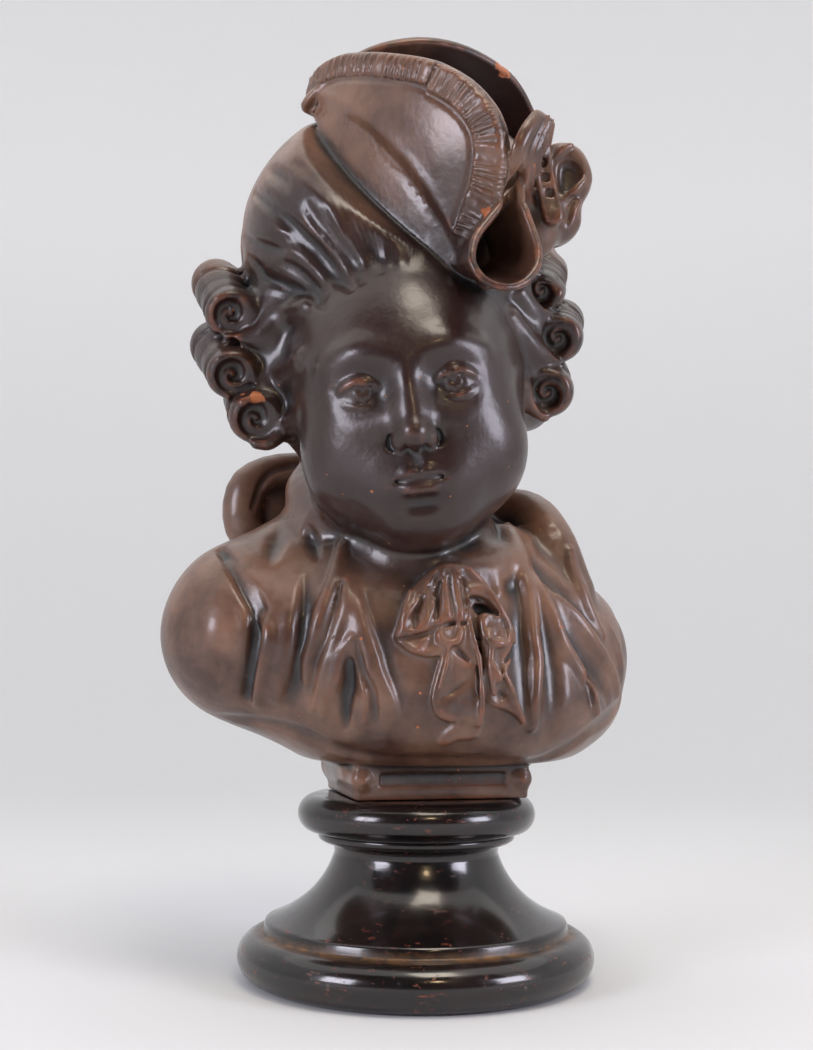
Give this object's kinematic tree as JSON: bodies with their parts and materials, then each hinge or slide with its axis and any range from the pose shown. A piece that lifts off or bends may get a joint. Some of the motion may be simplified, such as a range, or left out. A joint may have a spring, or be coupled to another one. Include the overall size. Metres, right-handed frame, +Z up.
{
  "type": "terracotta bust on a socle",
  "caption": "Terracotta bust of a child in a rolled wig, tricorne hat and neckcloth, on a turned black wooden socle.",
  "frame": {"origin": "middle of the socle's flat underside", "axes": "+Z up along the socle's axis, -Y the way the chest faces, +X to the viewer's right"},
  "size_m": [0.2266, 0.1909, 0.4329],
  "materials": {
    "terracotta": "fired clay with a dark brown waxed patina, satin, worn to orange clay at chips",
    "ebonised_wood": "turned, stained black and polished, worn red-brown on the edges"
  },
  "bodies": {
    "root": {"bust": "terracotta", "socle": "ebonised_wood"}
  },
  "joints": []
}
